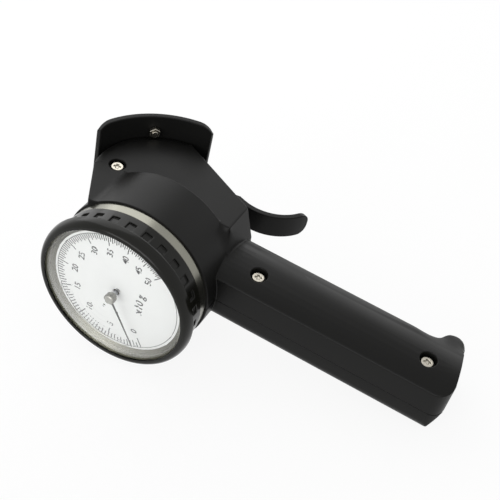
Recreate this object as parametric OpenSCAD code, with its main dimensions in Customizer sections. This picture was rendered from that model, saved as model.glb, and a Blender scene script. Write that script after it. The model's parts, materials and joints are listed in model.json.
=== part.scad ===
/* [Bezel and dial] */
// Largest radius of the bezel's lip
lip_r = 37; // [36.2:0.1:41]
// Radius of the notched drum behind the lip
drum_r = 35; // [34.4:0.1:36]
// Length of the drum behind the lip
drum_len = 8.2; // [6:0.1:11]
// Radius of the opening that shows the dial
sight_r = 33.4; // [31.5:0.1:34]
// How far the lip stands in front of its widest place
lip_front = 4.5; // [4:0.1:6]
// Number of grip notches round the drum
notch_count = 28; // [16:1:40]
// Depth of a grip notch
notch_depth = 0.9; // [0.4:0.1:1.2]
// Thickness of the dial plate
dial_t = 0.8; // [0.5:0.1:1.2]
// Thickness of the crystal
crystal_t = 1.2; // [0.8:0.1:1.6]
// Rise of the crystal's dome
crystal_rise = 6; // [5.5:0.1:8]
// Sweep of the pointer over the scale, in degrees
scale_sweep = 254; // [180:1:300]

/* [Gauge case] */
// Radius of the silver flange between bezel and casing
flange_r = 34.5; // [34:0.1:35.2]
// Length of the silver flange
flange_len = 4.6; // [3:0.1:6]
// Radius of the case inside the barrel
case_r = 32.8; // [32.5:0.1:33.4]
// Wall of the case
case_wall = 2; // [1.5:0.1:2.4]
// Length of the case behind its flange
case_len = 11; // [10:0.5:14]

/* [Casing] */
// Radius of the casing's barrel
barrel_r = 35.4; // [35:0.1:37]
// Length of the barrel
barrel_len = 24; // [20:0.5:28]
// Half of the head's width
head_half = 26.5; // [24:0.5:30]
// Wall of the two casing halves
wall = 2.2; // [1.8:0.1:2.6]
// Distance from the dial axis to the end of the handle
handle_reach = 140; // [125:1:160]
// Depth of the handle from its back to its finger side
handle_depth = 32.6; // [29:0.2:36]
// Height of the handle's right half above the parting plane
handle_right = 16; // [14:0.5:19]
// Height of the handle's left half below the parting plane
handle_left = 11.4; // [10:0.2:15]

/* [Muzzle] */
// Radius of the head's round front
head_r = 30; // [28:0.5:32]
// Outer radius of the curved guard
guard_r = 44.6; // [40:0.2:52]
// Thickness of the guard
guard_t = 2.6; // [2:0.1:3.4]
// Half of the guard's width
guard_half = 37.2; // [34:0.2:39]
// Radius of the rollers
roller_r = 7; // [6:0.1:7.6]
// Thickness of the rollers
roller_t = 4.4; // [3.6:0.1:5]
// Distance of the guide rollers from the middle
guide_span = 20; // [17:0.5:22]
// Radius of the roller shafts
roller_shaft_r = 2.2; // [1.8:0.1:2.4]

/* [Trigger and arm] */
// Width of the trigger
trigger_w = 12; // [9:0.2:14]
// Thickness of the trigger's blade
trigger_t = 2.8; // [2.2:0.1:3.4]
// Radius of the pins that the trigger and the arm turn on
pin_r = 2; // [1.6:0.1:2.4]
// Turning angle of the measuring arm, in degrees
arm_swing = 6.3; // [5:0.1:7]

/* [Movement] */
// Thickness of the movement's plates
plate_t = 1.2; // [0.8:0.1:1.6]
// Size of a gear tooth, pitch diameter over teeth
gear_module = 0.4; // [0.35:0.01:0.42]

/* [Clearances] */
// Radial clearance of a running fit
run_gap = 0.05; // [0.02:0.01:0.1]
// Clearance between pieces that are put together
fit_gap = 0.1; // [0.05:0.01:0.2]
// Clearance between pieces that pass each other
pass_gap = 0.4; // [0.3:0.05:0.6]

/* [Hidden] */
$fn = 96;

// The tool's own axes: X runs down the handle, Y away from the dial, Z to the tool's right side.
// The origin is on the dial axis, where the bezel's lip is widest.
seat_gap = 0.02;
far = 400;

// Places along the dial axis
lip_flat = 0.6;
drum_y = 1.5;
drum_end = drum_y + drum_len;
flange_y = drum_end + pass_gap;
casing_y = flange_y + flange_len;
case_y = casing_y + case_len;
barrel_end = casing_y + barrel_len;
rim_t = 0.9;
crystal_y = rim_t - lip_front;
ring_y = crystal_y + crystal_t;
ring_depth = 2.8;
dial_y = ring_y + ring_depth;

// Radii of the bezel and of what it holds
lip_bead = 2.8;
drum_wall = 2.6;
bore_r = drum_r - drum_wall;
cavity_r = sight_r + 1.4;
dial_show = 2;
dial_open_r = bore_r - dial_show;
notch_y = drum_y + 1;
notch_len = 3.8;
notch_w = 3.6;

// Gauge case and movement
spigot_y = drum_y + 2.5;
spigot_r = bore_r - run_gap;
case_in_r = min(spigot_r, case_r) - case_wall;
groove_y = casing_y + 4;
groove_len = 2;
groove_depth = 1.2;
boss_len = 1.8;
back_plate_y = case_y - case_wall - boss_len - plate_t;
pillar_len = 8.8;
front_plate_y = back_plate_y - pillar_len - plate_t;
plate_r = case_in_r - 4;
pillar_r = 2;
neck_r = 1;
pillar_ring = plate_r - 4;
pillar_turns = [0, 110, 250];
screw_ring = plate_r - 3.5;
screw_turns = [30, 150, 270];
boss_r = 3;
pivot_r = 0.75;
arbor_r = 0.9;
sector_arbor_r = 1.5;
end_play = 0.3;
gear_y = back_plate_y - 5.5;
sector_t = 1.4;
pinion_len = 3.4;
// Teeth on the pointer's pinion, and its turns for one turn of the sector
pinion_teeth = 10;
gear_ratio = 10;
pinion_pitch_r = gear_module * pinion_teeth / 2;
sector_pitch_r = pinion_pitch_r * gear_ratio;
gear_centres = pinion_pitch_r + sector_pitch_r;
tail_r = 7.5;
tail_pin_r = 1;
tail_reach = 4.6;
sector_x = -sqrt(gear_centres * gear_centres - tail_r * tail_r);
sector_z = -tail_r;
sector_sweep = scale_sweep / gear_ratio;
sector_to_axis = atan2(-sector_z, -sector_x);
zero_turn = -122;
pointer_len = 25;
needle_y = dial_y - 4.8;
hub_r = 2.4;

// Muzzle: middle of the head's round front, the direction that the muzzle faces, middle of the guard's arc
arc_x = -9.5;
arc_y = casing_y + 29.6;
muzzle_turn = 128.5;
guard_in_r = guard_r - guard_t;
muzzle_step = guard_in_r - head_r - fit_gap;
muzzle_x = arc_x - muzzle_step * cos(muzzle_turn);
muzzle_y = arc_y - muzzle_step * sin(muzzle_turn);
guard_from = muzzle_turn - 35.5;
guard_to = muzzle_turn + 36.5;
guard_corner = 6;
head_from = 95;
head_to = 197;
nose_soft_w = 3.5;
nose_soft_d = 0.8;
blend_r = 8.5;
roller_plate_t = 1.6;
roller_plate_half = 33;
roller_plate_w = 26;
roller_plate_corner = 4;
plate_front = guard_r + roller_plate_t;
roller_gap = 1.4;
roller_s = plate_front + roller_gap;
roller_end = roller_s + roller_t;
groove_bottom = 5.5;
bush_wall = 1.2;
bush_r = roller_shaft_r + run_gap + bush_wall;
guide_side = 6;
measuring_side = -5.7;
plate_screw_z = 29.3;
screw_r = 1.5;
nut_r = 2.7;
nut_t = 2.2;
screw_head_r = 2.7;
screw_head_t = 1.6;
recess_w = 1;
screw_lap = 0.5;
end_screw_r = roller_shaft_r + 1;
end_screw_t = 1.5;
guard_screw_turn = muzzle_turn + 23;
guard_screw_z = 10;

// Measuring arm and trigger
arm_pin_s = guard_in_r - 18;
arm_x = muzzle_x + arm_pin_s * cos(muzzle_turn) - measuring_side * sin(muzzle_turn);
arm_y = muzzle_y + arm_pin_s * sin(muzzle_turn) + measuring_side * cos(muzzle_turn);
arm_block_end = guard_in_r - wall - 3.8;
arm_w = 5;
arm_half = 3;
arm_hub_r = 5;
arm_hub_half = 7;
block_half = 4.4;
fork_y = case_y + 3.2;
fork_depth = 3;
fork_w = 7;
trigger_x = 4;
trigger_y = casing_y + 34.5;
trigger_hub_r = 4.8;
blade_x = 24;
blade_y = casing_y + 84.5;
blade_r = 23.5;
blade_from = -114;
blade_to = -19;
blade_corner = 5.2;
// Neck between the trigger's hub and its blade
neck_half = 3;
neck_turn = 74.5;
function blade_point(r, a) = [blade_x, blade_y] + r * [cos(a), sin(a)];
neck_points = [
    [trigger_x, trigger_y] + neck_half * [cos(neck_turn + 90), sin(neck_turn + 90)],
    [trigger_x, trigger_y] + neck_half * [cos(neck_turn - 90), sin(neck_turn - 90)],
    blade_point(blade_r + 2, -113), blade_point(blade_r - trigger_t / 2, -106),
    blade_point(blade_r - trigger_t, -116), blade_point(blade_r, -124)];
// Where the trigger's nose rests beside the arm's tail
tail_turn = atan2(fork_y - arm_y, sector_x - arm_x) + arm_swing / 2;
nose_r = 2.5;
nose_along = 16;
nose_off = arm_w / 2 + nose_r + end_play;
nose_x = arm_x + nose_along * cos(tail_turn) - nose_off * sin(tail_turn);
nose_y = arm_y + nose_along * sin(tail_turn) + nose_off * cos(tail_turn);
pin_half = 21;
pin_boss_r = pin_r + 2.5;
spring_y = casing_y + 34.5;
spring_r = 3;
spring_wire = 0.9;
spring_turns = 7;
seat_x = -34.9;
seat_t = 1.2;
seat_r = 4.4;
peg_r = 1.9;
coil_r = 2.9 + pin_r - 2;
coil_wire = 0.7;
coil_turns = 4;
coil_pitch = 1.3;

// Casing: outline of the head and of the handle
handle_back = casing_y + 7.5;
handle_front = handle_back + handle_depth;
head_corner_x = 28.6;
head_corner_y = casing_y + 39.3;
head_left_x = -26.9;
head_inner_x = 22;
shoulder_x = 33.6;
shoulder_z = 12;
end_draft = 4.5;
heel_x = handle_reach - 9;
heel_soft = 2.6;
heel_root = 8;
heel_r = 6.1;
screw_places = [[-29.6, casing_y + 26], [48, casing_y + 17.7], [handle_reach - 14.6, casing_y + 20]];
counterbore_r = 3.7;
counterbore_depth = 2.6;
screw_boss_r = 4.7;

// The meter lies on its left side: the bezel's lip and the end of the handle touch the ground.
rest_x = handle_reach - end_draft;
rest_drop = handle_left;
rest_lean = asin(lip_r / norm([rest_x, rest_drop])) - atan(rest_drop / rest_x);

// Middle of the box round the meter as it lies, from the guard's far corner to the handle's end
// and from the crystal's dome to the blade's tip
guard_far_x = muzzle_x + guard_r * cos(guard_to);
guard_far_z = guard_half - 0.75 * guard_corner;
far_low = guard_far_x * cos(rest_lean) - guard_far_z * sin(rest_lean);
far_high = handle_reach * cos(rest_lean) + (handle_right - 1.05) * sin(rest_lean);
origin_x = (far_low + far_high) / 2;
tip_y = blade_y + (blade_r - trigger_t) * sin(blade_to);
origin_y = (crystal_y - crystal_rise + tip_y) / 2;

function turn_point(r, a) = [r * cos(a), r * sin(a)];
function arc_points(cx, cy, r, a1, a2, steps) =
    [for (i = [0 : steps]) [cx, cy] + turn_point(r, a1 + (a2 - a1) * i / steps)];

// Everything is drawn on the tool's axes, then laid down on the ground
module at_rest() {
    translate([-origin_x, -origin_y, lip_r]) rotate([0, rest_lean, 0]) children();
}

// Solid turned about the dial axis, from points of radius and place along the axis
module turned(points) {
    rotate([-90, 0, 0]) rotate_extrude() polygon(points);
}

module rod_y(r, y1, y2) {
    translate([0, y1, 0]) rotate([-90, 0, 0]) cylinder(r = r, h = y2 - y1);
}

module rod_z(x, y, r, z1, z2) {
    translate([x, y, z1]) cylinder(r = r, h = z2 - z1);
}

module rod_x(r, x1, x2) {
    translate([x1, 0, 0]) rotate([0, 90, 0]) cylinder(r = r, h = x2 - x1);
}

// Flat bar between two places
module link(a, b, w, z1, z2) {
    long = norm(b - a);
    translate([a[0], a[1], z1]) rotate([0, 0, atan2(b[1] - a[1], b[0] - a[0])])
        translate([0, -w / 2, 0]) cube([long, w, z2 - z1]);
}

// Frame of the muzzle: X points out of it and Y towards the dial side
module muzzle() {
    translate([muzzle_x, muzzle_y, 0]) rotate([0, 0, muzzle_turn]) children();
}

// Ring of arc between two angles, standing on the XY plane
module arc_wall(r1, r2, a1, a2, half) {
    intersection() {
        difference() {
            translate([0, 0, -half]) cylinder(r = r2, h = 2 * half);
            translate([0, 0, -half - 1]) cylinder(r = r1, h = 2 * half + 2);
        }
        translate([0, 0, -half - 2]) linear_extrude(2 * half + 4)
            polygon(concat([[0, 0]], arc_points(0, 0, 2 * r2, a1, a2, 6)));
    }
}

module right_side() {
    translate([-far, -far, 0]) cube(2 * far);
}

module left_side() {
    translate([-far, -far, -2 * far]) cube(2 * far);
}

// Sides of the handle from its back to its finger side; inset draws the hollow inside
function handle_section(inset) =
    let (back = handle_back + inset, front = handle_front - inset)
    let (right = handle_right - inset, left = handle_left - inset)
    let (ridge = [back + 1, right - 3.2], brow = [front - 9, right - 1.5])
    concat(
        [for (i = [0 : 8]) let (u = i / 8) ridge + (brow - ridge) * u + [0, 8.8 * u * (1 - u)]],
        [for (a = [15 : 15 : 90]) [brow[0] + 9 * sin(a), 3 + (brow[1] - 3) * cos(a)]],
        [for (a = [0 : 15 : 90]) [front - 8 + 8 * cos(a), -3 - (left - 3) * sin(a)]],
        [for (a = [0 : 15 : 90]) [back + 6 - 6 * sin(a), -left + 6 - 6 * cos(a)]],
        [[back, right - 4.2]]);

module handle_form(inset) {
    end = handle_reach - inset;
    back = handle_back + inset;
    intersection() {
        rotate([90, 0, 90]) linear_extrude(far) polygon(handle_section(inset));
        translate([0, 0, -far / 2]) linear_extrude(far) polygon(concat(
            [[10, back - 1], [10, far]],
            [[end - 4 - (far - handle_front) * 0.15, far]],
            [[end, back + 7]],
            arc_points(end - 6, back + 6, 6, 0, -90, 6),
            [[end - 6, back - 1]]));
        rotate([90, 0, 0]) translate([0, 0, -far]) linear_extrude(2 * far) polygon([[10, far], [end, far],
            [end, 0], [end - end_draft, -handle_left], [end - end_draft, -far], [10, -far]]);
    }
    heel_form(inset);
}

// Rounded heel that keeps the hand from slipping off the end
module heel_form(inset) {
    core = heel_r - inset - heel_soft;
    top = handle_right - 2.5 - inset;
    bottom = -handle_left + 3 + inset;
    side = concat([[core, bottom]], arc_points(core, bottom + heel_soft, heel_soft, -90, 0, 4),
        arc_points(core, top - heel_soft, heel_soft, 0, 90, 4), [[core, top]]);
    last = len(side) - 1;
    translate([heel_x, handle_front - 1.6, 0]) {
        rotate_extrude() polygon(concat([[0, bottom]], side, [[0, top]]));
        if (inset == 0) rotate([90, 0, 0]) linear_extrude(heel_root) polygon(concat(
            [for (p = side) [0.996 * p[0], p[1]]],
            [for (i = [0 : last]) [-0.996 * side[last - i][0], side[last - i][1]]]));
    }
}

module head_form(inset) {
    half = head_half - inset;
    edge = 3.6 * inset / wall;
    r = head_r - inset;
    start = [arc_x, arc_y] + turn_point(r, head_from + edge);
    stop = [arc_x, arc_y] + turn_point(r, head_to - edge);
    translate([0, 0, -half]) linear_extrude(2 * half) polygon([
        [head_left_x + inset * 1.2, casing_y], [head_inner_x - inset, casing_y],
        [head_inner_x - inset, barrel_end + inset], [head_corner_x - inset, barrel_end + inset],
        [head_corner_x - inset, head_corner_y - inset * 0.6], start, stop]);
    translate([arc_x, arc_y, 0]) intersection() {
        rotate_extrude() polygon([[0, -half], [r - nose_soft_w, -half], [r, nose_soft_d - half],
            [r, half - nose_soft_d], [r - nose_soft_w, half], [0, half]]);
        translate([0, 0, -far]) linear_extrude(2 * far)
            polygon(concat([[0, 0]], arc_points(0, 0, 2 * r, head_from + edge, head_to - edge, 6)));
    }
}

// Sloping wall between the head and the handle
module shoulder_form(inset) {
    half = head_half - inset;
    top = head_corner_x - inset;
    foot = shoulder_x - inset;
    front = barrel_end - 1 + inset;
    intersection() {
        translate([0, handle_back + inset, 0]) rotate([-90, 0, 0])
            linear_extrude(head_corner_y - handle_back - 2 * inset)
            polygon([[10, -half], [top, -half], [foot, -shoulder_z],
                [foot, shoulder_z], [top, half], [10, half]]);
        union() {
            rod_y(barrel_r - inset, casing_y, barrel_end - inset);
            rotate([90, 0, 90]) linear_extrude(far) polygon([[far, -far], [front, -far], [front, -half],
                [front - 0.45 * half, 0], [front, half], [front, far], [far, far]]);
        }
    }
}

// Soft blend between the barrel and the flat cheeks on its left
module cheek_blend() {
    z = head_half + blend_r;
    x = -sqrt(pow(barrel_r + blend_r, 2) - z * z);
    meet = [x, z] * barrel_r / (barrel_r + blend_r);
    for (side = [-1, 1]) difference() {
        translate([0, casing_y, 0]) rotate([-90, 0, 0]) linear_extrude(barrel_len) polygon([
            [x, -side * head_half], [meet[0], -side * meet[1]],
            [meet[0] * 0.93, -side * meet[1] * 0.93], [x, -side * (head_half - 1.5)]]);
        translate([x, 0, side * z]) rod_y(blend_r + 0.06, casing_y - 1, barrel_end + 1);
    }
}

module casing_form() {
    rod_y(barrel_r, casing_y, barrel_end);
    cheek_blend();
    head_form(0);
    shoulder_form(0);
    handle_form(0);
}

module casing_hollow() {
    rod_y(barrel_r - wall, case_y + 2, barrel_end - wall);
    rod_y(case_r + fit_gap, casing_y - 1, case_y + 2);
    difference() {
        union() {
            head_form(wall);
            shoulder_form(wall);
            handle_form(wall);
        }
        rod_y(case_r + fit_gap + wall, casing_y - 1, case_y + fit_gap);
    }
}

// Long slot that the measuring shaft swings in
module shaft_slot(s1, s2) {
    half = roller_shaft_r + (roller_end - arm_pin_s) * sin(arm_swing / 2) + pass_gap;
    z_half = roller_shaft_r + pass_gap;
    muzzle() translate([s1, measuring_side - half, -z_half]) cube([s2 - s1, 2 * half, 2 * z_half]);
}

// Rod that points out of the arc of the guard
module arc_rod(turn, z, r, s1, s2) {
    translate([muzzle_x, muzzle_y, z]) rotate([0, 0, turn]) rod_x(r, s1, s2);
}

module casing_bosses() {
    for (p = screw_places) rod_z(p[0], p[1], screw_boss_r, -far, far);
    rod_z(arm_x, arm_y, pin_boss_r, arm_hub_half + end_play, far);
    rod_z(arm_x, arm_y, pin_boss_r, -far, -arm_hub_half - end_play);
    rod_z(trigger_x, trigger_y, pin_boss_r, trigger_w / 2 + coil_turns * coil_pitch + 3 * coil_wire, far);
    rod_z(trigger_x, trigger_y, pin_boss_r, -far, -trigger_w / 2 - end_play);
    translate([0, spring_y, 0]) rod_x(seat_r + 0.8, -far, seat_x);
    groove_r = case_r - groove_depth + fit_gap;
    rib_y = groove_y + fit_gap;
    rib_end = groove_y + groove_len - fit_gap;
    turned([[groove_r, rib_y], [case_r + 1, rib_y], [case_r + 1, rib_end], [groove_r, rib_end]]);
}

// Pads that carry the guard, cut to the guard's curve
module guard_pads() {
    intersection() {
        for (side = [-1, 1])
            arc_rod(guard_screw_turn, side * guard_screw_z, screw_r + 2, guard_in_r - 9, guard_r);
        rod_z(muzzle_x, muzzle_y, guard_in_r, -far, far);
    }
}

function screw_floor(i) = (i == 0 ? head_half : handle_right - 1) - counterbore_depth;

module casing_holes() {
    for (i = [0 : len(screw_places) - 1]) {
        p = screw_places[i];
        rod_z(p[0], p[1], counterbore_r, screw_floor(i), far);
        rod_z(p[0], p[1], screw_r + fit_gap, -handle_left + wall, screw_floor(i) + 1);
    }
    rod_z(arm_x, arm_y, pin_r + seat_gap, -pin_half - fit_gap, pin_half + fit_gap);
    rod_z(trigger_x, trigger_y, pin_r + seat_gap, -pin_half - fit_gap, pin_half + fit_gap);
    shaft_slot(guard_in_r - 2 * wall, guard_in_r + 1);
    for (side = [-1, 1])
        arc_rod(guard_screw_turn, side * guard_screw_z, screw_r + seat_gap, guard_in_r - 8, guard_in_r + 1);
    slot_half = trigger_w / 2 + pass_gap;
    translate([trigger_x - 2.5, trigger_y + 2, -slot_half])
        cube([neck_points[3][0] - trigger_x + 1, neck_points[3][1] - trigger_y, 2 * slot_half]);
}

module casing() {
    difference() {
        union() {
            difference() {
                casing_form();
                casing_hollow();
            }
            intersection() {
                casing_form();
                casing_bosses();
            }
            guard_pads();
        }
        casing_holes();
    }
}

module right_casing() {
    color("#26272a") intersection() {
        casing();
        right_side();
    }
}

module left_casing() {
    color("#232427") intersection() {
        casing();
        left_side();
    }
}

module casing_screws() {
    color("silver") for (i = [0 : len(screw_places) - 1]) {
        p = screw_places[i];
        z = screw_floor(i);
        top = z + screw_head_t;
        difference() {
            union() {
                rod_z(p[0], p[1], screw_head_r, z, top);
                rod_z(p[0], p[1], screw_r, -handle_left + wall + 1, z + screw_lap);
            }
            for (a = [20, 110]) translate([p[0], p[1], top]) rotate([0, 0, a])
                cube([2 * screw_r, recess_w, screw_head_t], center = true);
        }
    }
}

// Oblong with round corners
module round_oblong(side, half, c) {
    corners = [[side - c, half - c, 0], [c - side, half - c, 90],
        [c - side, c - half, 180], [side - c, c - half, 270]];
    polygon([for (k = corners) each arc_points(k[0], k[1], c, k[2], k[2] + 90, 6)]);
}

// Outline of the guard as the muzzle faces it
module guard_window() {
    side = guard_r * sin((guard_to - guard_from) / 2);
    shift = (guard_from + guard_to) / 2;
    translate([muzzle_x, muzzle_y, 0]) rotate([0, 0, shift]) rotate([90, 0, 90]) linear_extrude(far)
        round_oblong(side, guard_half, guard_corner);
}

module guard() {
    color("#2b2c2f") difference() {
        intersection() {
            translate([muzzle_x, muzzle_y, 0])
                arc_wall(guard_in_r, guard_r, guard_from, guard_to, guard_half);
            guard_window();
        }
        shaft_slot(guard_in_r - 2, guard_r + 2);
        for (side = [-1, 1]) {
            arc_rod(muzzle_turn, side * plate_screw_z, screw_r + fit_gap, guard_in_r - 2, guard_r + 2);
            arc_rod(guard_screw_turn, side * guard_screw_z, screw_r + fit_gap, guard_in_r - 2, guard_r + 2);
        }
    }
}

module guard_screws() {
    color("silver") for (side = [-1, 1]) {
        arc_rod(guard_screw_turn, side * guard_screw_z, screw_head_r, guard_r, guard_r + screw_head_t);
        arc_rod(guard_screw_turn, side * guard_screw_z, screw_r, guard_in_r - 7, guard_r + screw_lap);
    }
}

module roller_plate() {
    color("#8d9094") difference() {
        muzzle() translate([guard_r, 0, 0]) rotate([90, 0, 90]) linear_extrude(roller_plate_t)
            round_oblong(roller_plate_w / 2, roller_plate_half, roller_plate_corner);
        shaft_slot(guard_r - 1, plate_front + 1);
        for (side = [-1, 1]) {
            arc_rod(muzzle_turn, side * plate_screw_z, screw_r + fit_gap, guard_r - 1, plate_front + 1);
            muzzle() translate([0, guide_side, side * guide_span])
                rod_x(roller_shaft_r + seat_gap, guard_r - 1, plate_front + 1);
        }
    }
}

module plate_screws() {
    color("silver") for (side = [-1, 1]) {
        arc_rod(muzzle_turn, side * plate_screw_z, screw_head_r, plate_front, plate_front + screw_head_t);
        arc_rod(muzzle_turn, side * plate_screw_z, screw_r,
            guard_in_r - nut_t - 0.8, plate_front + screw_lap);
    }
}

module plate_nuts() {
    nut_end = sqrt(guard_in_r * guard_in_r - nut_r * nut_r);
    color("silver") for (side = [-1, 1]) difference() {
        translate([muzzle_x, muzzle_y, side * plate_screw_z]) rotate([0, 0, muzzle_turn])
            translate([nut_end - nut_t, 0, 0]) rotate([0, 90, 0]) cylinder(r = nut_r, h = nut_t, $fn = 6);
        arc_rod(muzzle_turn, side * plate_screw_z, screw_r + seat_gap, guard_in_r - far / 10, guard_r);
    }
}

module guide_shafts() {
    color("silver") for (side = [-1, 1]) muzzle() translate([0, guide_side, side * guide_span])
        rod_x(roller_shaft_r, guard_r, roller_end + end_play);
}

module guide_screws() {
    color("silver") for (side = [-1, 1]) muzzle() translate([0, guide_side, side * guide_span])
        rod_x(end_screw_r, roller_end + end_play, roller_end + end_play + end_screw_t);
}

// Roller with a groove for the wire, turned about the muzzle's X axis
module roller() {
    lip = 0.7;
    mid = roller_t / 2;
    translate([roller_s, 0, 0]) rotate([0, 90, 0]) rotate_extrude() polygon([
        [bush_r + seat_gap, 0], [roller_r, 0], [roller_r, lip], [groove_bottom, mid],
        [roller_r, roller_t - lip], [roller_r, roller_t], [bush_r + seat_gap, roller_t]]);
}

module bush() {
    difference() {
        rod_x(bush_r, roller_s, roller_end);
        rod_x(roller_shaft_r + run_gap, roller_s - 1, roller_end + 1);
    }
}

module right_guide_roller() {
    color("#d8d3c4") muzzle() translate([0, guide_side, guide_span]) roller();
}

module left_guide_roller() {
    color("#d8d3c4") muzzle() translate([0, guide_side, -guide_span]) roller();
}

module right_guide_bush() {
    color("#b08d3c") muzzle() translate([0, guide_side, guide_span]) bush();
}

module left_guide_bush() {
    color("#b08d3c") muzzle() translate([0, guide_side, -guide_span]) bush();
}

// The arm is drawn in the middle of its swing and set back to its rest
module arm_pose() {
    translate([arm_x, arm_y, 0]) rotate([0, 0, arm_swing / 2]) translate([-arm_x, -arm_y, 0]) children();
}

module measuring_arm() {
    color("#6f7378") arm_pose() difference() {
        union() {
            rod_z(arm_x, arm_y, arm_hub_r, -arm_hub_half, arm_hub_half);
            link([arm_x, arm_y], [sector_x, fork_y], arm_w, -arm_half, arm_half);
            translate([sector_x - fork_w / 2, fork_y - fork_depth / 2, -arm_half - 2])
                cube([fork_w, fork_depth, 2 * arm_half + 4]);
            muzzle() translate([arm_pin_s, measuring_side - block_half + 1, -block_half])
                cube([arm_block_end - arm_pin_s, 2 * block_half - 2, 2 * block_half]);
            translate([0, spring_y, 0]) rod_x(peg_r, peg_x - arm_w, peg_x);
        }
        rod_z(arm_x, arm_y, pin_r + run_gap, -far, far);
        slot_w = 2 * (tail_pin_r + pass_gap);
        translate([sector_x - slot_w / 2, fork_y - fork_depth, -arm_half])
            cube([slot_w, 2 * fork_depth, 2 * arm_half]);
        muzzle() translate([0, measuring_side, 0])
            rod_x(roller_shaft_r + seat_gap, arm_pin_s + arm_hub_r + 2, far);
    }
}

module measuring_shaft() {
    color("silver") arm_pose() muzzle() translate([0, measuring_side, 0])
        rod_x(roller_shaft_r, arm_pin_s + arm_hub_r + 2, roller_end + end_play);
}

module measuring_screw() {
    color("silver") arm_pose() muzzle() translate([0, measuring_side, 0])
        rod_x(end_screw_r, roller_end + end_play, roller_end + end_play + end_screw_t);
}

module measuring_roller() {
    color("#d8d3c4") arm_pose() muzzle() translate([0, measuring_side, 0]) roller();
}

module measuring_bush() {
    color("#b08d3c") arm_pose() muzzle() translate([0, measuring_side, 0]) bush();
}

module arm_pin() {
    color("silver") rod_z(arm_x, arm_y, pin_r, -pin_half, pin_half);
}

module trigger_pin() {
    color("silver") rod_z(trigger_x, trigger_y, pin_r, -pin_half, pin_half);
}

module trigger() {
    half = trigger_w / 2;
    color("#1f2022") difference() {
        union() {
            rod_z(trigger_x, trigger_y, trigger_hub_r, -half, half);
            translate([0, 0, -half]) linear_extrude(2 * half) polygon(neck_points);
            translate([blade_x, blade_y, 0])
                arc_wall(blade_r - trigger_t, blade_r, blade_from, blade_to, half);
            link([trigger_x, trigger_y], [nose_x, nose_y], 1.7 * nose_r, -arm_half, arm_half);
            rod_z(nose_x, nose_y, nose_r, -arm_half, arm_half);
        }
        rod_z(trigger_x, trigger_y, pin_r + run_gap, -far, far);
        translate([blade_x, blade_y, 0]) rotate([0, 0, blade_to]) tip_corners(half);
    }
}

// What is cut off the two corners of the blade's tip
module tip_corners(half) {
    c = blade_corner;
    for (side = [0, 1]) mirror([0, 0, side]) difference() {
        translate([blade_r - 2 * trigger_t, -c, half - c]) cube([3 * trigger_t, 2 * c, 2 * c]);
        translate([0, -c, half - c]) rod_x(c, 0, 2 * blade_r);
    }
}

// Wire bent along a row of points; axis is a direction that the wire never runs along
function unit(v) = v / norm(v);
function wire_ring(p, along, axis, r) =
    let (side = unit(cross(along, axis)), up = cross(side, unit(along)))
    [for (k = [0 : 5]) p + r * (cos(60 * k) * side + sin(60 * k) * up)];
function heading(path, i) = path[min(i + 1, len(path) - 1)] - path[max(i - 1, 0)];

module wire(path, axis, r) {
    last = len(path) - 1;
    points = [for (i = [0 : last]) each wire_ring(path[i], heading(path, i), axis, r)];
    skin = [for (i = [0 : last - 1], k = [0 : 5]) let (a = 6 * i + k, b = 6 * i + (k + 1) % 6)
        each [[a, b, b + 6], [a, b + 6, a + 6]]];
    caps = [for (k = [1 : 4]) each [[0, k + 1, k], [6 * last, 6 * last + k, 6 * last + k + 1]]];
    polyhedron(points, concat(skin, caps));
}

function least_gap(path, wire_d, apart) =
    let (last = len(path) - 1)
    min([for (i = [0 : last], j = [i + apart : 1 : last]) norm(path[i] - path[j])]) - wire_d;

function helix(r, pitch, turns, start) =
    [for (i = [0 : 8 * turns]) [r * cos(start + 45 * i), r * sin(start + 45 * i), pitch * i / 8]];

peg_x = arm_x + (sector_x - arm_x) * (arm_y - spring_y) / (arm_y - fork_y);
spring_x = seat_x + seat_t + spring_wire;
spring_far = peg_x - arm_w / 2 - 2 * spring_wire / 3;
spring_path = helix(spring_r, (spring_far - spring_x) / spring_turns, spring_turns, 0);
echo(measuring_spring_gap = least_gap(spring_path, spring_wire, 6));

module measuring_spring() {
    color("#9a9ca0") translate([spring_x, spring_y, 0]) rotate([0, 90, 0])
        wire(spring_path, [0, 0, 1], spring_wire / 2);
}

module spring_seat() {
    color("#b08d3c") translate([0, spring_y, 0]) {
        rod_x(seat_r, seat_x, seat_x + seat_t);
        rod_x(peg_r, seat_x, seat_x + 3 * seat_t);
    }
}

leg_start = 157;
leg_len = 8;
leg_way = [-sin(leg_start), cos(leg_start), 0];
coil = helix(coil_r, coil_pitch, coil_turns, leg_start);
coil_path = concat([coil[0] - leg_way * leg_len, coil[0] - leg_way * leg_len / 2], coil,
    [coil[len(coil) - 1] + leg_way * leg_len / 2, coil[len(coil) - 1] + leg_way * leg_len]);
echo(trigger_spring_gap = least_gap(coil_path, coil_wire, 6));

module trigger_spring() {
    color("#9a9ca0") translate([trigger_x, trigger_y, trigger_w / 2 + 1.5 * coil_wire])
        wire(coil_path, [0, 0, 1], coil_wire / 2);
}

module gauge_case() {
    back = case_y - case_wall;
    color("#c9cacc") difference() {
        union() {
            turned([[case_in_r, spigot_y], [spigot_r, spigot_y], [spigot_r, flange_y], [flange_r, flange_y],
                [flange_r, casing_y], [case_r, casing_y], [case_r, groove_y],
                [case_r - groove_depth, groove_y], [case_r - groove_depth, groove_y + groove_len],
                [case_r, groove_y + groove_len], [case_r, case_y], [0, case_y],
                [0, back], [case_in_r, back]]);
            for (a = screw_turns) rotate([0, a, 0]) translate([screw_ring, 0, 0])
                rod_y(boss_r, back - boss_len, back + 0.5);
        }
        tail_slot(back - 1, case_y + 1);
        for (a = screw_turns) rotate([0, a, 0]) translate([screw_ring, 0, 0])
            rod_y(neck_r + seat_gap, back - boss_len - 1, case_y - 0.6);
    }
}

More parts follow.
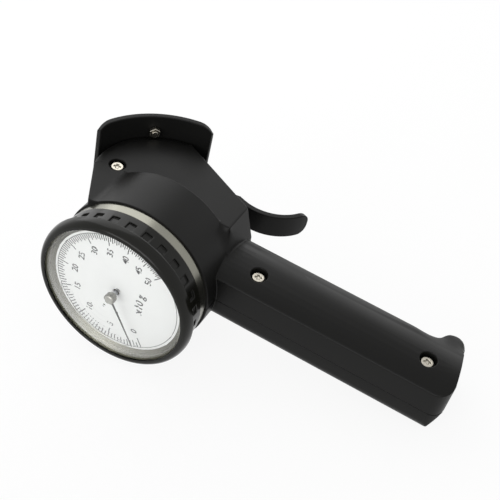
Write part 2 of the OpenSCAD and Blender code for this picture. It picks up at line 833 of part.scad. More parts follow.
// Slot that the sector's tail pin swings in
module tail_slot(y1, y2) {
    half = tail_r * sin(sector_sweep / 2) + tail_pin_r + 2 * pass_gap;
    z_half = 2 * tail_pin_r;
    translate([sector_x - half, y1, -z_half]) cube([2 * half, y2 - y1, 2 * z_half]);
}

module sector_place() {
    translate([sector_x, 0, sector_z]) children();
}

module movement_back_plate() {
    color("#c2a14a") difference() {
        rod_y(plate_r, back_plate_y, back_plate_y + plate_t);
        rod_y(pivot_r + run_gap, back_plate_y - 1, back_plate_y + plate_t + 1);
        sector_place() rod_y(pivot_r + run_gap, back_plate_y - 1, back_plate_y + plate_t + 1);
        tail_slot(back_plate_y - 1, back_plate_y + plate_t + 1);
        for (a = screw_turns) rotate([0, a, 0]) translate([screw_ring, 0, 0])
            rod_y(neck_r + fit_gap, back_plate_y - 1, back_plate_y + plate_t + 1);
        for (a = pillar_turns) rotate([0, a, 0]) translate([pillar_ring, 0, 0])
            rod_y(neck_r + seat_gap, back_plate_y - 1, back_plate_y + plate_t + 1);
    }
}

module movement_front_plate() {
    color("#c2a14a") difference() {
        rod_y(plate_r, front_plate_y, front_plate_y + plate_t);
        rod_y(arbor_r + run_gap, front_plate_y - 1, front_plate_y + plate_t + 1);
        sector_place() rod_y(pivot_r + run_gap, front_plate_y - 1, front_plate_y + plate_t + 1);
        for (a = pillar_turns) rotate([0, a, 0]) translate([pillar_ring, 0, 0])
            rod_y(neck_r + seat_gap, front_plate_y - 1, front_plate_y + plate_t + 1);
    }
}

module movement_pillars() {
    color("#c2a14a") for (a = pillar_turns) rotate([0, a, 0]) translate([pillar_ring, 0, 0]) {
        rod_y(pillar_r, front_plate_y + plate_t, back_plate_y);
        rod_y(neck_r, front_plate_y - 0.4, back_plate_y + plate_t + 0.4);
    }
}

module movement_screws() {
    color("silver") for (a = screw_turns) rotate([0, a, 0]) translate([screw_ring, 0, 0]) {
        rod_y(2 * neck_r, back_plate_y - 1.2, back_plate_y);
        rod_y(neck_r, back_plate_y - screw_lap, case_y - 1);
    }
}

// Gear teeth round the Z axis: count teeth of a full wheel, drawn from the first to the last
module teeth(pitch_r, count, first, last, h) {
    root = pitch_r - 1.3 * gear_module;
    tip = pitch_r + 0.9 * gear_module;
    foot_half = 0.62 * gear_module;
    tip_half = 0.22 * gear_module;
    for (i = [first : last]) rotate([0, 0, 360 * i / count]) linear_extrude(h)
        polygon([[root - gear_module, -foot_half], [root, -foot_half], [tip, -tip_half], [tip, tip_half],
            [root, foot_half], [root - gear_module, foot_half]]);
}

module sector_gear() {
    teeth_all = pinion_teeth * gear_ratio;
    root = sector_pitch_r - 1.3 * gear_module;
    color("#c2a14a") sector_place() rotate([0, sector_sweep / 2, 0]) difference() {
        union() {
            rod_y(2.2 * sector_arbor_r, gear_y, gear_y + sector_t);
            rotate([0, -sector_to_axis, 0]) translate([0, gear_y, 0]) rotate([-90, 0, 0]) {
                teeth(sector_pitch_r, teeth_all, -5, 5, sector_t);
                intersection() {
                    difference() {
                        cylinder(r = root, h = sector_t);
                        translate([0, 0, sector_t / 2])
                            arc_wall(0.4 * root, 0.8 * root, -13, 13, sector_t);
                    }
                    translate([0, 0, -1]) linear_extrude(sector_t + 2) polygon(concat([[0, 0]],
                        arc_points(0, 0, 2 * root, -20, 20, 4)));
                }
            }
            translate([-1.6, gear_y, 0]) cube([3.2, sector_t, tail_r]);
            translate([0, 0, tail_r]) rod_y(1.6, gear_y, gear_y + sector_t);
            translate([0, 0, tail_r]) rod_y(tail_pin_r, gear_y, case_y + tail_reach);
        }
        rod_y(sector_arbor_r + seat_gap, gear_y - 1, gear_y + sector_t + 1);
    }
}

module sector_arbor() {
    color("silver") sector_place() {
        rod_y(sector_arbor_r, front_plate_y + plate_t + end_play, back_plate_y - end_play);
        rod_y(pivot_r, front_plate_y, back_plate_y + plate_t);
    }
}

module pointer_arbor() {
    mesh_y = gear_y + sector_t / 2 - pinion_len / 2;
    color("#c9b06a") union() {
        rod_y(arbor_r, needle_y - 1, back_plate_y - end_play);
        rod_y(pivot_r, back_plate_y - 1, back_plate_y + plate_t);
        rotate([0, 180 - sector_to_axis - scale_sweep / 2, 0]) translate([0, mesh_y, 0])
            rotate([-90, 0, 0]) {
            rotate([0, 0, 180 / pinion_teeth])
                teeth(pinion_pitch_r, pinion_teeth, 1, pinion_teeth, pinion_len);
            cylinder(r = pinion_pitch_r - 1.3 * gear_module, h = pinion_len);
        }
    }
}

module pointer() {
    needle_t = 0.4;
    color("#101010") rotate([0, zero_turn, 0]) difference() {
        union() {
            translate([0, needle_y, 0]) rotate([-90, 0, 0]) linear_extrude(needle_t)
                polygon([[-pointer_len, -0.15], [0, -0.5], [0, 0.5], [-pointer_len, 0.15]]);
            rod_y(hub_r, needle_y - 0.8, needle_y + 1.6);
        }
        rod_y(arbor_r + seat_gap, needle_y - 2, needle_y + 3);
    }
}

module bezel() {
    bead = [for (a = [0 : 15 : 90]) [lip_r - lip_bead + lip_bead * sin(a), -lip_front * cos(a)]];
    color("#141416") difference() {
        turned(concat([[sight_r, -lip_front]], bead,
            [[lip_r, lip_flat], [drum_r, drum_y], [drum_r, drum_end], [bore_r, drum_end],
            [bore_r, dial_y], [cavity_r, dial_y], [cavity_r, crystal_y], [sight_r, crystal_y]]));
        for (i = [1 : notch_count]) rotate([0, 360 * i / notch_count, 0])
            translate([drum_r - notch_depth, notch_y, -notch_w / 2])
                cube([2 * notch_depth, notch_len, notch_w]);
    }
}

module crystal() {
    dome_r = (sight_r * sight_r + crystal_rise * crystal_rise) / (2 * crystal_rise);
    dome = [for (i = [0 : 10]) let (r = sight_r * i / 10)
        [r, dome_r - crystal_rise - sqrt(dome_r * dome_r - r * r)]];
    edge_r = cavity_r - fit_gap;
    color("#dfe8ea", 0.35) turned(concat(
        [for (p = dome) p + [0, crystal_y]],
        [[edge_r, crystal_y], [edge_r, ring_y]],
        [for (i = [10 : -1 : 0]) dome[i] + [0, ring_y]]));
}

module inner_ring() {
    edge_r = cavity_r - fit_gap;
    color("#b9bab8") turned([[sight_r, ring_y], [edge_r, ring_y], [edge_r, dial_y], [dial_open_r, dial_y]]);
}

module dial_plate() {
    color("white") difference() {
        rod_y(bore_r - fit_gap, dial_y, dial_y + dial_t);
        rod_y(arbor_r + 0.7, dial_y - 1, dial_y + dial_t + 1);
    }
}

at_rest() right_casing();
at_rest() left_casing();
at_rest() casing_screws();
at_rest() guard();
at_rest() guard_screws();
at_rest() roller_plate();
at_rest() plate_screws();
at_rest() plate_nuts();
at_rest() guide_shafts();
at_rest() guide_screws();
at_rest() right_guide_roller();
at_rest() right_guide_bush();
at_rest() left_guide_roller();
at_rest() left_guide_bush();
at_rest() measuring_arm();
at_rest() measuring_shaft();
at_rest() measuring_screw();
at_rest() measuring_roller();
at_rest() measuring_bush();
at_rest() arm_pin();
at_rest() measuring_spring();
at_rest() spring_seat();
at_rest() trigger();
at_rest() trigger_pin();
at_rest() trigger_spring();
at_rest() gauge_case();
at_rest() movement_back_plate();
at_rest() movement_front_plate();
at_rest() movement_pillars();
at_rest() movement_screws();
at_rest() sector_gear();
at_rest() sector_arbor();
at_rest() pointer_arbor();
at_rest() pointer();
at_rest() bezel();
at_rest() crystal();
at_rest() inner_ring();
at_rest() dial_plate();
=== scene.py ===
"""Dresses a wire tension meter: moulded black casing, printed dial, glossy bezel and steel fittings."""
import json
import math
from collections import namedtuple

import bmesh
import bpy
from bpy.props import FloatProperty, FloatVectorProperty, IntProperty, PointerProperty, StringProperty
from mathutils import Matrix, Vector
from mathutils.bvhtree import BVHTree
from mathutils.kdtree import KDTree


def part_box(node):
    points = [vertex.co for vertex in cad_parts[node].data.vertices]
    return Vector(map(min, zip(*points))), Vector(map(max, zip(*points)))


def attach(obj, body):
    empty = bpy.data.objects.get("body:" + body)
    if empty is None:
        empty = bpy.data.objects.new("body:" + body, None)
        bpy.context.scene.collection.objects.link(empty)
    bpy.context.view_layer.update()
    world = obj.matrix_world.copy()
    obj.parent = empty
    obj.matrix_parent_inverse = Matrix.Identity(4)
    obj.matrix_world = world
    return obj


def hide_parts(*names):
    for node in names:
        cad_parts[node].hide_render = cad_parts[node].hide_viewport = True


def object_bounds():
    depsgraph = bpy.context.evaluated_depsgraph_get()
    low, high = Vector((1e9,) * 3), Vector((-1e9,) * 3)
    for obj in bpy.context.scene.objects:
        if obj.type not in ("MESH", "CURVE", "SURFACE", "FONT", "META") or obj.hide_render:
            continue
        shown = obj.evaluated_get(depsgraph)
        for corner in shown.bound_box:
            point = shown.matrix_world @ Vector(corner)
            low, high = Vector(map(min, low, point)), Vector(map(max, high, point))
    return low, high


bl_info = {
    "name": "Wire Tension Meter",
    "version": (1, 0, 0),
    "blender": (4, 5, 0),
    "location": "View3D > Sidebar > Tension Meter",
    "description": "Finishes the pieces of a hand-held wire tension meter and sets up its picture",
    "category": "Object",
}

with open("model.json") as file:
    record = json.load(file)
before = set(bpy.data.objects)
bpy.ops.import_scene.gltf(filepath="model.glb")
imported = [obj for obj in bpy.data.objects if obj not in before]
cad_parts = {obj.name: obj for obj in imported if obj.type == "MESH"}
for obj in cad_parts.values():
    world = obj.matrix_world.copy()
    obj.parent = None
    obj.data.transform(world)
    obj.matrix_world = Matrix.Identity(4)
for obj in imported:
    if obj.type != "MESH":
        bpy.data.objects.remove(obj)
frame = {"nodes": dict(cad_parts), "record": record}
CAD_BOX = [list(corner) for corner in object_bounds()]
MIDDLE = (Vector(CAD_BOX[0]) + Vector(CAD_BOX[1])) / 2
MM = 0.001

SAME_POINT = 1e-7   # points of a new mesh that are nearer are one
SAME_CORNER = 2e-6  # and so are those of a solid's loose triangles

# Every solid of the meter rides on one of the bodies that the frame names.
BODY_OF = {node: body
           for body, nodes in frame["record"]["behaviour"]["bodies"].items()
           for node in nodes}

# The meter's own axes: to its right, inwards through the dial, and along the handle.
JOINTS = {joint["name"]: joint for joint in frame["record"]["behaviour"]["joints"]}
RIGHT = -Vector(JOINTS["trigger_pull"]["axis"]).normalized()
INWARDS = Vector((0, 1, 0))
ALONG = INWARDS.cross(RIGHT)
BEZEL_MIDDLE = Vector(JOINTS["bezel_turn"]["pos_m"])

DIAL_LOW, DIAL_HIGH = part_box("dial_plate")
DIAL_MIDDLE = [(low + high) / 2 for low, high in zip(DIAL_LOW, DIAL_HIGH)]


def hex_colour(code):
    """Linear red, green and blue of an sRGB hex value."""
    parts = [int(code[i:i + 2], 16) / 255 for i in (1, 3, 5)]
    return tuple(c / 12.92 if c <= 0.04045 else ((c + 0.055) / 1.055) ** 2.4 for c in parts)


def per_metre(size_mm):
    """Scale of a pattern on Object coordinates whose features are that many millimetres wide."""
    return 1 / (size_mm * MM)


def shade(colour, factor=1.0):
    """A colour times a factor, with the fourth number that a colour socket takes."""
    return (*[min(1, c * factor) for c in colour], 1)


# Sizes and colours that a user would change

class CasingSettings(bpy.types.PropertyGroup):
    """Moulded casing, guard and trigger"""
    colour: FloatVectorProperty(
        name="Casing Colour", description="Colour of the moulded casing halves",
        subtype='COLOR', default=hex_colour("#0f0f0e"), min=0, max=1)
    guard_colour: FloatVectorProperty(
        name="Guard Colour", description="Colour of the curved guard in front of the muzzle",
        subtype='COLOR', default=hex_colour("#111110"), min=0, max=1)
    trigger_colour: FloatVectorProperty(
        name="Trigger Colour", description="Colour of the trigger",
        subtype='COLOR', default=hex_colour("#0e0e0d"), min=0, max=1)
    edge: FloatProperty(
        name="Edge Radius", description="Radius of the moulding's outer edges",
        subtype='DISTANCE', unit='LENGTH', default=0.45 * MM, min=0.1 * MM, max=1.5 * MM)
    grain: FloatProperty(
        name="Grain", description="Width of the mould's spark-eroded grain",
        subtype='DISTANCE', unit='LENGTH', default=0.5 * MM, min=0.1 * MM, max=2 * MM)


class DialSettings(bpy.types.PropertyGroup):
    """Printed dial, its pointer and the bezel round it"""
    paper: FloatVectorProperty(
        name="Dial Colour", description="Colour of the enamelled dial plate",
        subtype='COLOR', default=hex_colour("#f4f4f2"), min=0, max=1)
    ink: FloatVectorProperty(
        name="Ink Colour", description="Colour of the printed scale and of the pointer",
        subtype='COLOR', default=hex_colour("#17171a"), min=0, max=1)
    bezel_colour: FloatVectorProperty(
        name="Bezel Colour", description="Colour of the glossy bezel",
        subtype='COLOR', default=hex_colour("#10100c"), min=0, max=1)
    divisions: IntProperty(
        name="Divisions", description="Unit divisions on the scale", default=50, min=10, max=100)
    scale_radius: FloatProperty(
        name="Scale Radius", description="Radius of the thin circle outside the graduations",
        subtype='DISTANCE', unit='LENGTH', default=29.1 * MM, min=20 * MM, max=30 * MM)
    half_mark: FloatProperty(
        name="Half Mark", description="Length of the mark between two units",
        subtype='DISTANCE', unit='LENGTH', default=2.4 * MM, min=1 * MM, max=5 * MM)
    unit_mark: FloatProperty(
        name="Unit Mark", description="Length of a unit mark",
        subtype='DISTANCE', unit='LENGTH', default=3.1 * MM, min=1 * MM, max=5 * MM)
    long_mark: FloatProperty(
        name="Long Mark", description="Length of the mark at every fifth unit",
        subtype='DISTANCE', unit='LENGTH', default=4.9 * MM, min=1 * MM, max=7 * MM)
    numeral_radius: FloatProperty(
        name="Numeral Radius", description="Distance of the numerals from the dial's middle",
        subtype='DISTANCE', unit='LENGTH', default=20.6 * MM, min=10 * MM, max=26 * MM)
    numeral_size: FloatProperty(
        name="Numeral Size", description="Type size of the numerals",
        subtype='DISTANCE', unit='LENGTH', default=4.1 * MM, min=2 * MM, max=7 * MM)
    unit_text: StringProperty(
        name="Unit", description="Unit printed below the middle of the dial", default="x10 g")


class FittingSettings(bpy.types.PropertyGroup):
    """Metal fittings and the rollers"""
    nickel: FloatVectorProperty(
        name="Nickel Colour", description="Colour of the plated screws, nuts and shafts",
        subtype='COLOR', default=hex_colour("#b9b4a8"), min=0, max=1)
    aluminium: FloatVectorProperty(
        name="Aluminium Colour", description="Colour of the turned ring behind the bezel",
        subtype='COLOR', default=hex_colour("#84837a"), min=0, max=1)
    inner_ring: FloatVectorProperty(
        name="Inner Ring Colour", description="Colour of the satin ring between crystal and dial",
        subtype='COLOR', default=hex_colour("#6a695c"), min=0, max=1)
    hub: FloatVectorProperty(
        name="Hub Colour", description="Colour of the pointer's bare hub",
        subtype='COLOR', default=hex_colour("#8f8e88"), min=0, max=1)
    cap: FloatVectorProperty(
        name="Cap Colour", description="Colour of the cap on the pointer's hub",
        subtype='COLOR', default=hex_colour("#b0afa8"), min=0, max=1)
    brass: FloatVectorProperty(
        name="Brass Colour", description="Colour of the movement, bushes and gears",
        subtype='COLOR', default=hex_colour("#c9a44c"), min=0, max=1)
    steel: FloatVectorProperty(
        name="Steel Colour", description="Colour of the roller plate and of the springs",
        subtype='COLOR', default=hex_colour("#a9abae"), min=0, max=1)
    roller: FloatVectorProperty(
        name="Roller Colour", description="Colour of the grooved rollers",
        subtype='COLOR', default=hex_colour("#e4dfd2"), min=0, max=1)


class StageSettings(bpy.types.PropertyGroup):
    """Floor, lamps and camera"""
    floor_colour: FloatVectorProperty(
        name="Floor Colour", description="Colour of the plain floor",
        subtype='COLOR', default=hex_colour("#f6f6f6"), min=0, max=1)
    focal_length: FloatProperty(
        name="Focal Length", description="Focal length on a 36 mm sensor, in millimetres",
        default=72, min=20, max=200)
    camera_place: FloatVectorProperty(
        name="Camera Place", description="Where the camera stands",
        subtype='TRANSLATION', unit='LENGTH', default=(0.1437, -0.2914, 0.3181))
    camera_turn: FloatVectorProperty(
        name="Camera Turn", description="How the camera is turned about X, Y and Z",
        subtype='EULER', unit='ROTATION',
        default=(math.radians(50.216), math.radians(-1.12), math.radians(27.803)))


class MeterSettings(bpy.types.PropertyGroup):
    """All settings of the meter"""
    casing: PointerProperty(type=CasingSettings)
    dial: PointerProperty(type=DialSettings)
    fitting: PointerProperty(type=FittingSettings)
    stage: PointerProperty(type=StageSettings)


# Nodes and materials

def add(tree, kind, inputs=None, **settings):
    """Adds a node to a tree; an input is a value or the socket that it is linked to."""
    node = tree.nodes.new(kind)
    for key, value in settings.items():
        setattr(node, key, value)
    for key, value in (inputs or {}).items():
        if isinstance(value, bpy.types.NodeSocket):
            tree.links.new(value, node.inputs[key])
        else:
            node.inputs[key].default_value = value
    return node


def new_material(name):
    """An empty node material, with the tree and the Object coordinates that its patterns read."""
    material = bpy.data.materials.new(name)
    material.use_nodes = True
    tree = material.node_tree
    tree.nodes.clear()
    place = add(tree, "ShaderNodeTexCoord").outputs["Object"]
    return material, tree, place


def moulded_plastic(name, colour, grain_mm, roughness, depth_mm, specular=0.13, coat=0.0):
    """Moulded plastic: an even body, an eroded grain as coarse as it needs to show, and an uneven sheen."""
    material, tree, place = new_material(name)
    grain = add(tree, "ShaderNodeTexNoise", {
        "Vector": place, "Scale": per_metre(grain_mm), "Detail": 2.0, "Roughness": 0.6})
    flow = add(tree, "ShaderNodeTexNoise", {
        "Vector": place, "Scale": per_metre(22), "Detail": 1.0})
    sheen = add(tree, "ShaderNodeMapRange", {
        "Value": flow.outputs["Fac"], "From Min": 0.3, "From Max": 0.7,
        "To Min": roughness - 0.03, "To Max": roughness + 0.03})
    tint = add(tree, "ShaderNodeMix", {
        "Factor": grain.outputs["Fac"],
        "A": shade(colour, 0.85), "B": shade(colour, 1.2)}, data_type='RGBA')
    bump = add(tree, "ShaderNodeBump", {
        "Height": grain.outputs["Fac"], "Strength": 0.35, "Distance": depth_mm * MM})
    shader = add(tree, "ShaderNodeBsdfPrincipled", {
        "Base Color": tint.outputs["Result"], "Roughness": sheen.outputs["Result"],
        "Normal": bump.outputs["Normal"], "IOR": 1.54, "Specular IOR Level": specular,
        "Coat Weight": coat, "Coat Roughness": 0.08})
    add(tree, "ShaderNodeOutputMaterial", {"Surface": shader.outputs["BSDF"]})
    return material


# painted shade: the dark colour that metal is given in its corners and recesses
HOLLOW_SHADE = hex_colour("#272421")


def plain_metal(name, colour, roughness, scratch_mm, stretch=(1, 1, 1)):
    """Bare or plated metal: full reflection, fine tool marks that may be stretched along one way, and
    painted shade in its corners and recesses.
    """
    material, tree, place = new_material(name)
    along = add(tree, "ShaderNodeMapping", {"Vector": place, "Scale": stretch})
    marks = add(tree, "ShaderNodeTexNoise", {
        "Vector": along.outputs["Vector"], "Scale": per_metre(scratch_mm), "Detail": 3.0})
    shine = add(tree, "ShaderNodeMapRange", {
        "Value": marks.outputs["Fac"], "From Min": 0.3, "From Max": 0.7,
        "To Min": max(0.05, roughness - 0.06), "To Max": roughness + 0.06})
    bump = add(tree, "ShaderNodeBump", {
        "Height": marks.outputs["Fac"], "Strength": 0.2, "Distance": 0.004 * MM})
    # painted shade: ambient occlusion turns the colour dark brown in corners and recesses
    corner = add(tree, "ShaderNodeAmbientOcclusion", {"Distance": 0.9 * MM}, samples=8)
    painted_shade = add(tree, "ShaderNodeMapRange", {
        "Value": corner.outputs["AO"], "From Min": 0.35, "From Max": 0.85,
        "To Min": 0.12, "To Max": 1.0})
    tint = add(tree, "ShaderNodeMix", {
        "Factor": painted_shade.outputs["Result"], "A": shade(HOLLOW_SHADE), "B": shade(colour)}, data_type='RGBA')
    shader = add(tree, "ShaderNodeBsdfPrincipled", {
        "Base Color": tint.outputs["Result"], "Metallic": 1.0, "Roughness": shine.outputs["Result"],
        "Normal": bump.outputs["Normal"]})
    add(tree, "ShaderNodeOutputMaterial", {"Surface": shader.outputs["BSDF"]})
    return material


WAVE_RATE = 20  # radians that the wave node goes on by for each unit of its scaled coordinates


def turned_metal(name, colour, roughness, radian_mm):
    """Lathe-turned metal: rings about the dial axis, coarse enough to show.

    One ring takes up two pi of the given millimetres.
    """
    material, tree, place = new_material(name)
    centred = add(tree, "ShaderNodeMapping", {"Vector": place, "Location": [-c for c in DIAL_MIDDLE]})
    rings = add(tree, "ShaderNodeTexWave", {
        "Vector": centred.outputs["Vector"], "Scale": per_metre(radian_mm) / WAVE_RATE,
        "Distortion": 1.5, "Detail": 2.0},
        wave_type='RINGS', rings_direction='Y')
    shine = add(tree, "ShaderNodeMapRange", {
        "Value": rings.outputs["Fac"], "To Min": roughness - 0.05, "To Max": roughness + 0.08})
    bump = add(tree, "ShaderNodeBump", {
        "Height": rings.outputs["Fac"], "Strength": 0.15, "Distance": 0.01 * MM})
    shader = add(tree, "ShaderNodeBsdfPrincipled", {
        "Base Color": shade(colour), "Metallic": 1.0, "Roughness": shine.outputs["Result"],
        "Normal": bump.outputs["Normal"]})
    add(tree, "ShaderNodeOutputMaterial", {"Surface": shader.outputs["BSDF"]})
    return material


def dial_enamel(name, colour):
    """Stoved white enamel on sheet metal: even, slightly warm, with a soft gloss."""
    material, tree, place = new_material(name)
    cloud = add(tree, "ShaderNodeTexNoise", {"Vector": place, "Scale": per_metre(9), "Detail": 2.0})
    tint = add(tree, "ShaderNodeMix", {
        "Factor": cloud.outputs["Fac"],
        "A": shade(colour, 0.975), "B": shade(colour, 1.01)}, data_type='RGBA')
    shader = add(tree, "ShaderNodeBsdfPrincipled", {
        "Base Color": tint.outputs["Result"], "Roughness": 0.42, "IOR": 1.5})
    add(tree, "ShaderNodeOutputMaterial", {"Surface": shader.outputs["BSDF"]})
    return material


def printed_ink(name, colour):
    """Pad-printed ink: matt, a little thinner in places."""
    material, tree, place = new_material(name)
    wear = add(tree, "ShaderNodeTexNoise", {"Vector": place, "Scale": per_metre(0.6), "Detail": 2.0})
    tint = add(tree, "ShaderNodeMix", {
        "Factor": wear.outputs["Fac"],
        "A": shade(colour), "B": shade([c + 0.03 for c in colour])}, data_type='RGBA')
    shader = add(tree, "ShaderNodeBsdfPrincipled", {
        "Base Color": tint.outputs["Result"], "Roughness": 0.6})
    add(tree, "ShaderNodeOutputMaterial", {"Surface": shader.outputs["BSDF"]})
    return material


HUB_RADIUS = 2.6 * MM  # the pointer is bare within this distance of its axis


def lacquered_pointer(name, lacquer, metal):
    """Nickel-plated hub, with black lacquer on the needle beyond it."""
    material, tree, place = new_material(name)
    flat = add(tree, "ShaderNodeMapping", {
        "Vector": place, "Location": (-DIAL_MIDDLE[0], 0, -DIAL_MIDDLE[2]), "Scale": (1, 0, 1)})
    out = add(tree, "ShaderNodeVectorMath", {0: flat.outputs["Vector"]}, operation='LENGTH')
    coated = add(tree, "ShaderNodeMapRange", {
        "Value": out.outputs["Value"], "From Min": HUB_RADIUS, "From Max": HUB_RADIUS + 0.1 * MM})
    brush = add(tree, "ShaderNodeTexNoise", {"Vector": place, "Scale": per_metre(0.3), "Detail": 2.0})
    bare = add(tree, "ShaderNodeMix", {
        "Factor": brush.outputs["Fac"], "A": shade(metal, 0.8), "B": shade(metal)}, data_type='RGBA')
    tint = add(tree, "ShaderNodeMix", {
        "Factor": coated.outputs["Result"], "A": bare.outputs["Result"], "B": shade(lacquer)},
        data_type='RGBA')
    metallic = add(tree, "ShaderNodeMath", {0: 1.0, 1: coated.outputs["Result"]}, operation='SUBTRACT')
    shader = add(tree, "ShaderNodeBsdfPrincipled", {
        "Base Color": tint.outputs["Result"], "Metallic": metallic.outputs["Value"], "Roughness": 0.4})
    add(tree, "ShaderNodeOutputMaterial", {"Surface": shader.outputs["BSDF"]})
    return material


def clear_acrylic(name):
    """Moulded clear acrylic: it bends light at its faces and lets the lamps through to the dial."""
    material, tree, place = new_material(name)
    haze = add(tree, "ShaderNodeTexNoise", {"Vector": place, "Scale": per_metre(30), "Detail": 1.0})
    polish = add(tree, "ShaderNodeMapRange", {
        "Value": haze.outputs["Fac"], "To Min": 0.0, "To Max": 0.02})
    pane = add(tree, "ShaderNodeBsdfPrincipled", {
        "Base Color": (1, 1, 1, 1), "Roughness": polish.outputs["Result"], "IOR": 1.49,
        "Transmission Weight": 1.0})
    free = add(tree, "ShaderNodeBsdfTransparent", {"Color": shade(hex_colour("#fcfdfd"))})
    path = add(tree, "ShaderNodeLightPath")
    through = add(tree, "ShaderNodeMath", {
        0: path.outputs["Is Shadow Ray"], 1: path.outputs["Is Diffuse Ray"]}, operation='MAXIMUM')
    both = add(tree, "ShaderNodeMixShader", {
        "Fac": through.outputs["Value"], 1: pane.outputs["BSDF"], 2: free.outputs["BSDF"]})
    add(tree, "ShaderNodeOutputMaterial", {"Surface": both.outputs["Shader"]})
    return material


# Pieces

def finished(obj, body, material):
    """Gives a new piece its material and its body."""
    obj.data.materials.clear()
    obj.data.materials.append(material)
    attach(obj, body)


def linked(obj):
    """Puts a new object into the scene."""
    bpy.context.collection.objects.link(obj)
    return obj


def mesh_object(name, bm):
    """A new object in the scene with the mesh that was built."""
    mesh = bpy.data.meshes.new(name)
    bm.to_mesh(mesh)
    return linked(bpy.data.objects.new(name, mesh))


def as_plain_mesh(obj):
    """Replaces an object's data with its evaluated mesh and drops its modifiers."""
    graph = bpy.context.evaluated_depsgraph_get()
    mesh = bpy.data.meshes.new_from_object(
        obj.evaluated_get(graph), preserve_all_data_layers=True, depsgraph=graph)
    name = obj.name
    bpy.data.objects.remove(obj)
    return linked(bpy.data.objects.new(name, mesh))


# A driver's recess in the end of a screw. Its reach is from the middle, and it is a cross or one slot.
Recess = namedtuple("Recess", "reach width depth crossed")

FIRST_TURN = 0.3  # turn of the first recess, in radians
NEXT_TURN = 0.6   # each next one is turned further by this, so that no two neighbours stand alike
END_SHARE = 0.9   # a screw's flat ends have at least this share of its largest face


def driver_blades(name, bm, recess):
    """Blades that cut a driver's recess into the outer flat end of each screw in a mesh."""
    r, w = recess.reach, recess.width / 2
    if recess.crossed:
        outline = [(r, -w), (r, w), (w, w), (w, r), (-w, r), (-w, w),
                   (-r, w), (-r, -w), (-w, -w), (-w, -r), (w, -r), (w, -w)]
    else:
        outline = [(r, -w), (r, w), (-r, w), (-r, -w)]
    blades = bmesh.new()
    done = set()
    turn = FIRST_TURN
    for first in bm.faces:
        if first in done:
            continue
        # all faces of the screw that this face belongs to
        screw, reached = [], [first]
        while reached:
            face = reached.pop()
            if face not in done:
                done.add(face)
                screw.append(face)
                reached += [other for edge in face.edges for other in edge.link_faces]
        largest = max(face.calc_area() for face in screw)
        end = max((face for face in screw if face.calc_area() > END_SHARE * largest),
                  key=lambda face: face.normal.dot(face.calc_center_median() - MIDDLE))
        out, centre = end.normal, end.calc_center_median()
        along = Matrix.Rotation(turn, 3, out) @ out.orthogonal().normalized()
        across = out.cross(along)
        turn += NEXT_TURN
        floor, top = [[blades.verts.new(centre + along * a + across * b + out * z) for a, b in outline]
                      for z in (-recess.depth, recess.depth)]
        blades.faces.new(reversed(floor))
        blades.faces.new(top)
        for i in range(len(outline)):
            blades.faces.new((floor[i - 1], floor[i], top[i], top[i - 1]))
    obj = mesh_object(name, blades)
    blades.free()
    return obj


def from_path(point, path):
    """Distance of a point from a path of two ends."""
    start, end = path
    share = (point - start).dot(end - start) / (end - start).length_squared
    return (point - start.lerp(end, min(1, max(0, share)))).length


def cut_small(bm, low, high, step):
    """Cuts the faces inside a box into pieces no longer than a step, and gives those faces."""
    def parts(faces):
        return list(dict.fromkeys(part for face in faces for part in (*face.verts, *face.edges))) + faces

    def inside(face):
        centre = face.calc_center_median()
        return all(low[i] <= centre[i] <= high[i] for i in range(3))

    def touching(face):
        return all(min(v.co[i] for v in face.verts) <= high[i]
                   and max(v.co[i] for v in face.verts) >= low[i] for i in range(3))

    def cut(pieces, i, place):
        done = bmesh.ops.bisect_plane(
            bm, geom=pieces, dist=SAME_POINT, plane_co=[place if j == i else 0 for j in range(3)],
            plane_no=[1 if j == i else 0 for j in range(3)])
        return done["geom"]

    pieces = parts([face for face in bm.faces if touching(face)])
    for i in range(3):
        pieces = cut(cut(pieces, i, low[i]), i, high[i])
    pieces = parts([face for face in bm.faces if inside(face)])
    for i in range(3):
        count = math.ceil((high[i] - low[i]) / step)
        for k in range(1, count):
            pieces = cut(pieces, i, low[i] + (high[i] - low[i]) * k / count)
    return [face for face in bm.faces if inside(face)]


RAY_START = 2e-5    # distance off its face at which a ray starts
RAY_GRAZING = 0.02  # cosine to the face's normal below which no ray is cast
RAY_LENGTH = 0.1    # far enough to cross the casing's head


def sees_open_space(face, tree, side):
    """Whether a face is on the outer skin of one side, unlike the inside of the wall."""
    start = face.calc_center_median() + face.normal * RAY_START
    for way in (face.normal, side, (face.normal + side).normalized()):
        if face.normal.dot(way) > RAY_GRAZING and tree.ray_cast(start, way, RAY_LENGTH)[0] is None:
            return True
    return False


# A corner that flows softly, within reach of a path of two ends. Faces that look to the side more squarely
# than the firm cosine keep their shape, so that their outline stays crisp.
Melt = namedtuple("Melt", "path side reach rounds firm")

NONE_FIRM = 2         # a cosine that no face has
MELT_STEP = 1.2 * MM  # longest edge of the faces that flow
FIRM_RIM = 0.8 * MM   # what is this near a firm face keeps its shape as well
MELT_FADE = 0.6       # share of the reach over which the flow sets in
MELT_PULL = 0.5       # share of the way to the mean of its neighbours that a point goes in a round


